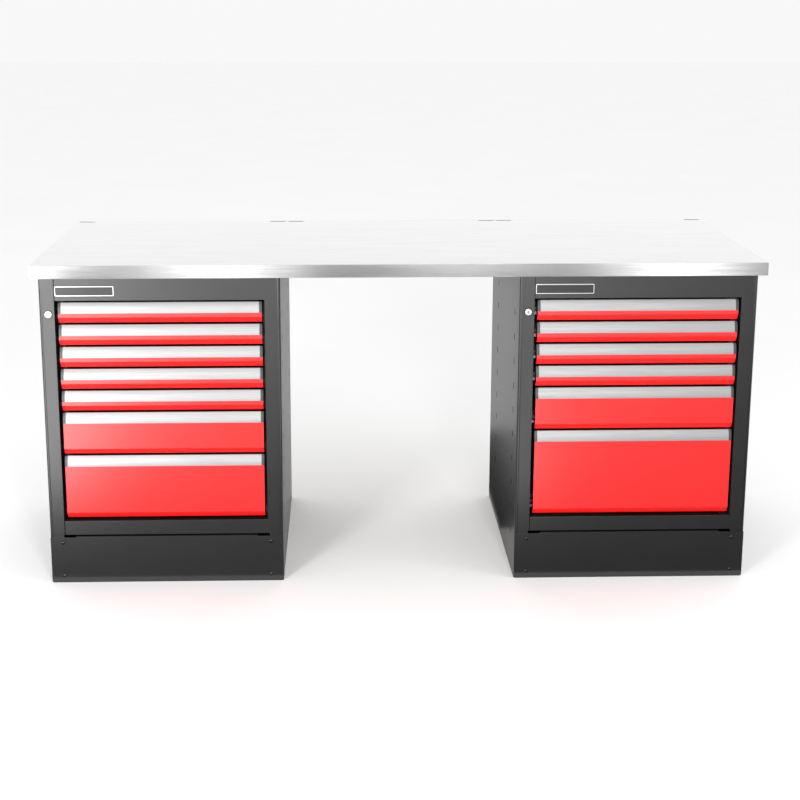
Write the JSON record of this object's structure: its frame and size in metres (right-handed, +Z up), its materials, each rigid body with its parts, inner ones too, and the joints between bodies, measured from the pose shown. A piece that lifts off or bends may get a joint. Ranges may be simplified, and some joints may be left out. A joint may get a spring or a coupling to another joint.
{
  "type": "workbench with drawers",
  "caption": "Long workbench: a stainless worktop on two pedestal drawer cabinets with a knee space between, full-width grip rails and a key lock on each cabinet.",
  "frame": {"origin": "On the floor, below the middle of the worktop's outline.", "axes": "+X runs along the worktop to the right, +Y goes from the drawer fronts to the back, +Z is up. The drawers open towards -Y."},
  "size_m": [2.233, 0.75, 1.03],
  "materials": {
    "anthracite_paint": "fine-textured powder coat",
    "red_paint": "smooth satin powder coat",
    "tray_paint": "satin powder coat",
    "anodised_aluminium": "extruded and anodised",
    "stainless": "fine brushed along the length",
    "board": "pressed board, cut edges",
    "zinc_plate": "zinc plated",
    "chromed_lock": "polished",
    "black_steel": "blackened"
  },
  "bodies": {
    "casing": {"worktop_core": "board", "worktop_skin": "stainless", "back_panels": "anthracite_paint", "deck_panels": "anthracite_paint", "uprights": "zinc_plate", "slide_runners": "zinc_plate", "casing_screws": "black_steel", "side_panel_left_outer": "anthracite_paint", "side_panel_left_inner": "anthracite_paint", "front_frame_left": "anthracite_paint", "lock_pillar_left": "anthracite_paint", "plinth_cover_left": "anthracite_paint", "side_panel_right_outer": "anthracite_paint", "side_panel_right_inner": "anthracite_paint", "front_frame_right": "anthracite_paint", "lock_pillar_right": "anthracite_paint", "plinth_cover_right": "anthracite_paint"},
    "drawer_left_7": {"drawer_tray_left_7": "tray_paint", "drawer_front_left_7": "red_paint", "drawer_handle_left_7": "anodised_aluminium"},
    "drawer_left_6": {"drawer_tray_left_6": "tray_paint", "drawer_front_left_6": "red_paint", "drawer_handle_left_6": "anodised_aluminium"},
    "drawer_left_5": {"drawer_tray_left_5": "tray_paint", "drawer_front_left_5": "red_paint", "drawer_handle_left_5": "anodised_aluminium"},
    "drawer_left_4": {"drawer_tray_left_4": "tray_paint", "drawer_front_left_4": "red_paint", "drawer_handle_left_4": "anodised_aluminium"},
    "drawer_left_3": {"drawer_tray_left_3": "tray_paint", "drawer_front_left_3": "red_paint", "drawer_handle_left_3": "anodised_aluminium"},
    "drawer_left_2": {"drawer_tray_left_2": "tray_paint", "drawer_front_left_2": "red_paint", "drawer_handle_left_2": "anodised_aluminium"},
    "drawer_left_1": {"drawer_tray_left_1": "tray_paint", "drawer_front_left_1": "red_paint", "drawer_handle_left_1": "anodised_aluminium"},
    "drawer_right_6": {"drawer_tray_right_6": "tray_paint", "drawer_front_right_6": "red_paint", "drawer_handle_right_6": "anodised_aluminium"},
    "drawer_right_5": {"drawer_tray_right_5": "tray_paint", "drawer_front_right_5": "red_paint", "drawer_handle_right_5": "anodised_aluminium"},
    "drawer_right_4": {"drawer_tray_right_4": "tray_paint", "drawer_front_right_4": "red_paint", "drawer_handle_right_4": "anodised_aluminium"},
    "drawer_right_3": {"drawer_tray_right_3": "tray_paint", "drawer_front_right_3": "red_paint", "drawer_handle_right_3": "anodised_aluminium"},
    "drawer_right_2": {"drawer_tray_right_2": "tray_paint", "drawer_front_right_2": "red_paint", "drawer_handle_right_2": "anodised_aluminium"},
    "drawer_right_1": {"drawer_tray_right_1": "tray_paint", "drawer_front_right_1": "red_paint", "drawer_handle_right_1": "anodised_aluminium"},
    "lock_left": {"lock_cylinder_left": "chromed_lock"},
    "lock_bar_left_body": {"lock_bar_left": "zinc_plate"},
    "lock_right": {"lock_cylinder_right": "chromed_lock"},
    "lock_bar_right_body": {"lock_bar_right": "zinc_plate"}
  },
  "joints": [
    {"name": "drawer_left_7_slide", "type": "slide", "parent": "casing", "child": "drawer_left_7", "axis": [0, -1, 0], "range_m": [0, 0.45]},
    {"name": "drawer_left_6_slide", "type": "slide", "parent": "casing", "child": "drawer_left_6", "axis": [0, -1, 0], "range_m": [0, 0.45]},
    {"name": "drawer_left_5_slide", "type": "slide", "parent": "casing", "child": "drawer_left_5", "axis": [0, -1, 0], "range_m": [0, 0.45]},
    {"name": "drawer_left_4_slide", "type": "slide", "parent": "casing", "child": "drawer_left_4", "axis": [0, -1, 0], "range_m": [0, 0.45]},
    {"name": "drawer_left_3_slide", "type": "slide", "parent": "casing", "child": "drawer_left_3", "axis": [0, -1, 0], "range_m": [0, 0.45]},
    {"name": "drawer_left_2_slide", "type": "slide", "parent": "casing", "child": "drawer_left_2", "axis": [0, -1, 0], "range_m": [0, 0.45]},
    {"name": "drawer_left_1_slide", "type": "slide", "parent": "casing", "child": "drawer_left_1", "axis": [0, -1, 0], "range_m": [0, 0.45]},
    {"name": "drawer_right_6_slide", "type": "slide", "parent": "casing", "child": "drawer_right_6", "axis": [0, -1, 0], "range_m": [0, 0.45]},
    {"name": "drawer_right_5_slide", "type": "slide", "parent": "casing", "child": "drawer_right_5", "axis": [0, -1, 0], "range_m": [0, 0.45]},
    {"name": "drawer_right_4_slide", "type": "slide", "parent": "casing", "child": "drawer_right_4", "axis": [0, -1, 0], "range_m": [0, 0.45]},
    {"name": "drawer_right_3_slide", "type": "slide", "parent": "casing", "child": "drawer_right_3", "axis": [0, -1, 0], "range_m": [0, 0.45]},
    {"name": "drawer_right_2_slide", "type": "slide", "parent": "casing", "child": "drawer_right_2", "axis": [0, -1, 0], "range_m": [0, 0.45]},
    {"name": "drawer_right_1_slide", "type": "slide", "parent": "casing", "child": "drawer_right_1", "axis": [0, -1, 0], "range_m": [0, 0.45]},
    {"name": "lock_bar_left_lift", "type": "slide", "parent": "casing", "child": "lock_bar_left_body", "axis": [0, 0, 1], "range_m": [0, 0.01]},
    {"name": "lock_left_turn", "type": "hinge", "parent": "casing", "child": "lock_left", "pos_m": [-1.0695, -0.35, 0.874], "axis": [0, -1, 0], "range_deg": [0, 90]},
    {"name": "lock_bar_right_lift", "type": "slide", "parent": "casing", "child": "lock_bar_right_body", "axis": [0, 0, 1], "range_m": [0, 0.01]},
    {"name": "lock_right_turn", "type": "hinge", "parent": "casing", "child": "lock_right", "pos_m": [0.3925, -0.35, 0.874], "axis": [0, -1, 0], "range_deg": [0, 90]}
  ],
  "couplings": [
    {"joint": "lock_left_turn", "follows": "lock_bar_left_lift", "rad_per_m": 157},
    {"joint": "lock_right_turn", "follows": "lock_bar_right_lift", "rad_per_m": 157}
  ]
}
